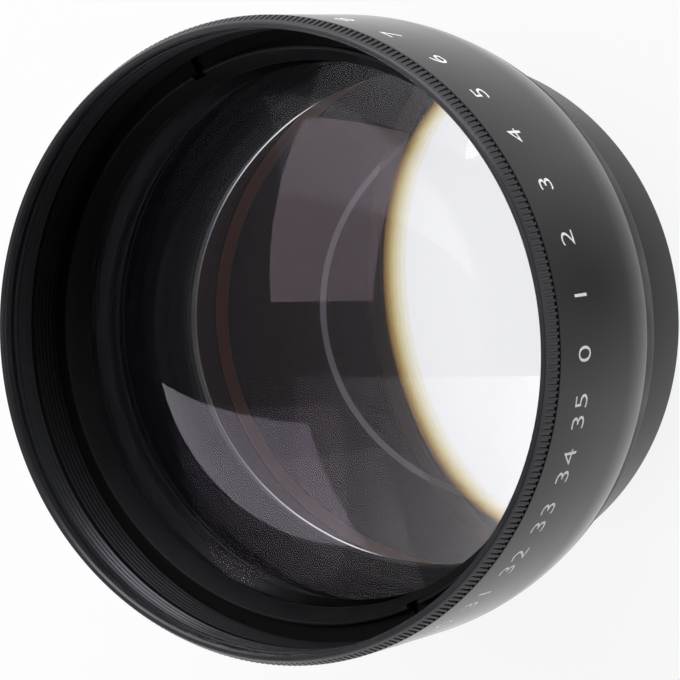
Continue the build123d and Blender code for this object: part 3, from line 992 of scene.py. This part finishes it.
def lens(name, front, rear, clear, outside, materials, bevel=(0, 0)):
    """Turns a glass from two faces (vertex, curve), its clear radius and its outer radius.

    The materials are those of the front, the rear, the edge, the bevel and the rim. The bevel
    takes a (width, height) off the corner of the front face.
    """
    front_face = dome(*front, POLE, clear - bevel[0], DOME_STEPS)
    rear_face = dome(*rear, POLE, clear, DOME_STEPS)
    front_rim = front_face[-1][1] - bevel[1]
    rear_rim = rear_face[-1][1]
    if bevel[0]:
        front_face.append((clear, front_rim))
    edge = [(outside, front_rim, 0.08), (outside, rear_rim, 0.08)]
    piece = turned(name, [*front_face, *edge, *reversed(rear_face)], solid=True)
    piece.data.materials.clear()
    for material in materials:
        piece.data.materials.append(material)
    for face in piece.data.polygons:
        reach = reach_of(piece, face)
        if reach > clear + HAIR:
            face.material_index = ON_EDGE
        elif bevel[0] and face.normal.z > 0 and reach > clear - bevel[0] + HAIR:
            face.material_index = ON_BEVEL
        else:
            face.material_index = ON_FRONT if face.normal.z > 0 else ON_REAR
    return piece


def place_glass(piece, node):
    """Hangs a glass on the barrel and hides the node it stands for."""
    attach(piece, "barrel")
    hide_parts(node)


# Each face is the height of its vertex and its radius of curvature; a negative one rises outwards.
CROWN_FACE = (44.259, 59.5)
CEMENTED_FACE = (30.394, -174.0)
FLINT_FACE = (27.594, -1080.0)
INNER_FACES = ((26.794, 66.5), (22.402, 107.0))
REAR_FACES = ((10.22, -126.0), (8.02, 45.6))
CEMENT = 0.03
REAR_BEVEL = (0.1, 0.05)

front_clear = bore_of("front_gasket")
front_edge = radius_of("crown_element")
crown = lens("crown_element_finished", CROWN_FACE, CEMENTED_FACE,
             front_clear, front_edge, (crown_front, cemented_crown, blacked_edge))
place_glass(crown, "crown_element")
flint_front = (CEMENTED_FACE[0] - CEMENT, CEMENTED_FACE[1])
flint = lens("flint_element_finished", flint_front, FLINT_FACE,
             front_clear, front_edge, (cemented_flint, flint_back, blacked_edge))
place_glass(flint, "flint_element")
inner = lens("inner_element_finished", *INNER_FACES,
             bore_of("inner_gasket"), radius_of("inner_element"),
             (inner_coated, inner_coated, blacked_edge))
place_glass(inner, "inner_element")
rear = lens("rear_element_finished", *REAR_FACES,
            rear_clear, radius_of("rear_element"),
            (rear_front, rear_back, brown_ink, rear_bevel, ground_rim), REAR_BEVEL)
place_glass(rear, "rear_element")

# %% Grind the rear glass's front rim
GROUND_FROM = rear_clear + REAR_BEVEL[0]
FACING_FORWARD = 0.9

rim = [face for face in rear.data.polygons
       if reach_of(rear, face) > GROUND_FROM and face.normal.z > FACING_FORWARD]
for face in rim:
    face.material_index = ON_RIM
print("faces of the ground rim:", len(rim))

# %% [markdown]
# ## Thin rings that stay as packed
# Washers, the shim and the soft rings have the right shape already. Each only gets its material:
# rolled brass for the shim, slippery black plastic for the washers, dull rubber for two seals and
# orange silicone for the third. That one touches the rear glass, and shows as the amber line.

# %% Rolled brass
# Rolling draws the grain out in long fine streaks, 0.25 mm by 5 mm, which dull the yellow shine.
STREAK_SCALE = (4000, 200, 4000)
rolled_brass, tree, output = new_material("rolled_brass_sheet")
place = add_node(tree, "ShaderNodeTexCoord")
streaks = add_node(tree, "ShaderNodeMapping",
                   {"Vector": place.outputs["Object"], "Scale": STREAK_SCALE})
rolling = add_node(tree, "ShaderNodeTexNoise", {"Vector": streaks.outputs[0], "Detail": 3.0})
colour = colour_between(tree, rolling.outputs[0], "#6b5630", "#8a7040")
roughness = add_node(tree, "ShaderNodeMapRange",
                     {"Value": rolling.outputs[0], "To Min": 0.3, "To Max": 0.5})
shader = add_node(tree, "ShaderNodeBsdfPrincipled",
                  {"Base Color": colour, "Roughness": roughness.outputs[0], "Metallic": 1.0})
tree.links.new(shader.outputs[0], output.inputs[0])

# %% Plastic and rubber
# Moulded plastic: an even, waxy half shine.
slip_plastic = dyed_metal(
    "black_slip_plastic", "#101011", "#161617", (0.4, 0.5), 0.002, 0.0, grain_size=0.2)
# Cut rubber sheet: dull, with a powdery bloom.
dull_rubber = dyed_metal(
    "dull_black_rubber", "#0c0c0c", "#121212", (0.65, 0.8), 0.01, 0.0, grain_size=0.15)
# Moulded silicone: clean, bright and almost without shine.
orange_silicone = dyed_metal(
    "orange_silicone_rubber", "#ec9460", "#f4a06c", (0.65, 0.8), 0.01, 0.0, grain_size=0.15,
    sheen=0.1)
kept_as_packed = {
    "focus_shim": rolled_brass,
    "front_ring_washer": slip_plastic,
    "doublet_seat_washer": slip_plastic,
    "mount_ring_washer": slip_plastic,
    "front_gasket": dull_rubber,
    "inner_gasket": dull_rubber,
    "rear_gasket": orange_silicone,
}
for node, material in kept_as_packed.items():
    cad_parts[node].data.materials.clear()
    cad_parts[node].data.materials.append(material)
print("kept as packed:", len(kept_as_packed))

# %% [markdown]
# ## Numerals on the band
# The band carries a row of white figures, engraved and filled with paint. Here they are plain
# numbers, one every ten degrees, as on any turned scale. Each is a text made into a mesh, divided
# finely and wrapped round the band point by point, so that it follows the metal.

# %% Engrave the numerals
NUMERAL_HEIGHT = 2.9
NUMERAL_MIDDLE = 39.8
NUMERAL_STEP = 10
NUMERAL_PROUD = 0.012
NUMERAL_SIZE = 4.0
NUMERAL_THINNING = -0.04
NUMERAL_SPACING = 1.15
NUMERAL_CURVE_STEPS = 4

numerals = []
for degrees in range(0, 360, NUMERAL_STEP):
    bpy.ops.object.select_all(action="DESELECT")
    bpy.ops.object.text_add(location=(0, 0, 0))
    numeral = bpy.context.object
    numeral.data.body = str(degrees // NUMERAL_STEP)
    numeral.data.size = NUMERAL_SIZE
    numeral.data.align_x = "CENTER"
    numeral.data.extrude = NUMERAL_PROUD
    numeral.data.resolution_u = NUMERAL_CURVE_STEPS
    numeral.data.offset = NUMERAL_THINNING
    numeral.data.space_character = NUMERAL_SPACING
    bpy.ops.object.convert(target="MESH")
    bpy.ops.object.mode_set(mode="EDIT")
    bpy.ops.mesh.select_all(action="SELECT")
    bpy.ops.mesh.quads_convert_to_tris()
    bpy.ops.mesh.subdivide(number_cuts=1)
    bpy.ops.object.mode_set(mode="OBJECT")
    heights = [vertex.co.y for vertex in numeral.data.vertices]
    scale = NUMERAL_HEIGHT / (max(heights) - min(heights))
    middle = (max(heights) + min(heights)) / 2
    start = math.radians(degrees)
    for vertex in numeral.data.vertices:
        turn = start + vertex.co.x * scale / BAND
        radius = (BAND + vertex.co.z) * MM
        level = NUMERAL_MIDDLE + (vertex.co.y - middle) * scale
        vertex.co = (radius * math.cos(turn), radius * math.sin(turn), level * MM)
    numerals.append(numeral)
bpy.ops.object.select_all(action="DESELECT")
for numeral in numerals:
    numeral.select_set(True)
bpy.context.view_layer.objects.active = numerals[0]
bpy.ops.object.join()
band_numerals = bpy.context.object
band_numerals.name = "band_numerals"
print("numerals:", len(band_numerals.data.polygons), "faces")

# %% Fill the numerals with paint
# Rubbed-in enamel: warm white, with the faint speckle of pigment, and dull where it was wiped.
SPECKLE_SIZE = MM / 6
RUB_DEPTH = 0.004 * MM

white_paint, tree, output = new_material("white_engraving_paint")
place = add_node(tree, "ShaderNodeTexCoord")
speckle = add_node(tree, "ShaderNodeTexNoise",
                   {"Vector": place.outputs["Object"], "Scale": 1 / SPECKLE_SIZE, "Detail": 3.0})
colour = colour_between(tree, speckle.outputs[0], "#eeece4", "#fcfaf4")
rub = add_node(tree, "ShaderNodeBump", {"Height": speckle.outputs[0], "Distance": RUB_DEPTH})
shader = add_node(tree, "ShaderNodeBsdfPrincipled",
                  {"Base Color": colour, "Roughness": 0.55, "Normal": rub.outputs[0]})
tree.links.new(shader.outputs[0], output.inputs[0])
band_numerals.data.materials.clear()
band_numerals.data.materials.append(white_paint)
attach(band_numerals, "barrel")
print("paint on", len(numerals), "numerals")
